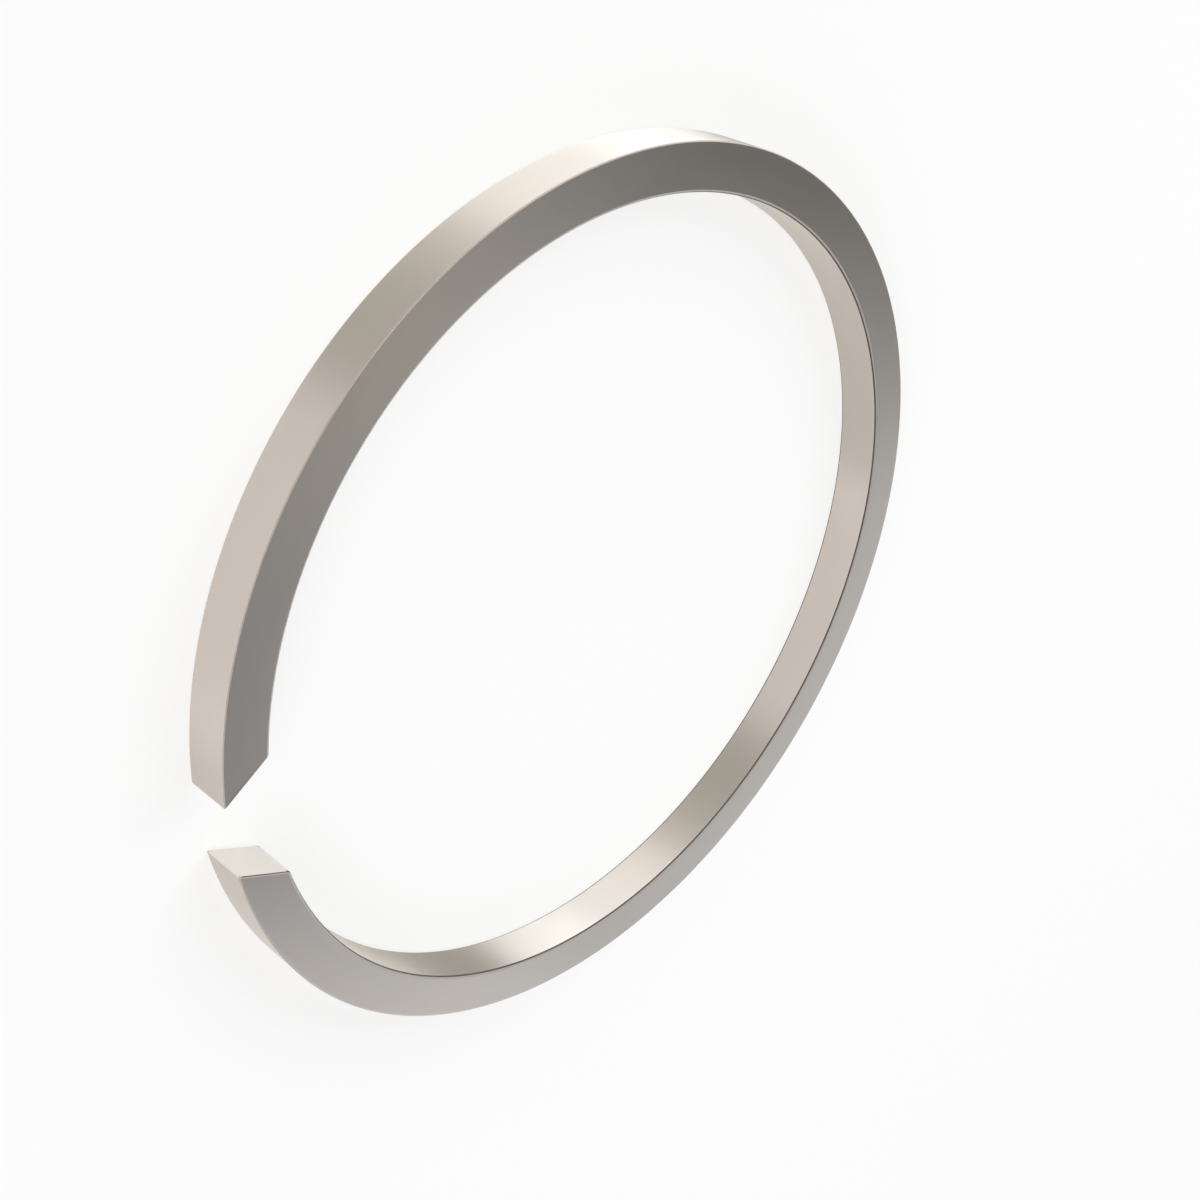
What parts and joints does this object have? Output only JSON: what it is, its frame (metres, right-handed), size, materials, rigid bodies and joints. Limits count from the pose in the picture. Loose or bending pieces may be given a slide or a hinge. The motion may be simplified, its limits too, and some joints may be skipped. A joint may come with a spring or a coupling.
{
  "type": "snap ring",
  "caption": "Open snap ring of near-square steel wire for a groove in a bore, with slanted ends and a gap that widens inwards.",
  "frame": {"origin": "centre of the ring on its lower face", "axes": "+Z along the ring's axis, up as it lies flat; +X from the centre through the middle of the gap between the ends"},
  "size_m": [0.0599, 0.06, 0.0032],
  "materials": {
    "spring_steel": "satin, with a fine drawn grain along the wire and finer cut marks across the ends"
  },
  "bodies": {
    "root": {"snap_ring": "spring_steel"}
  },
  "joints": []
}
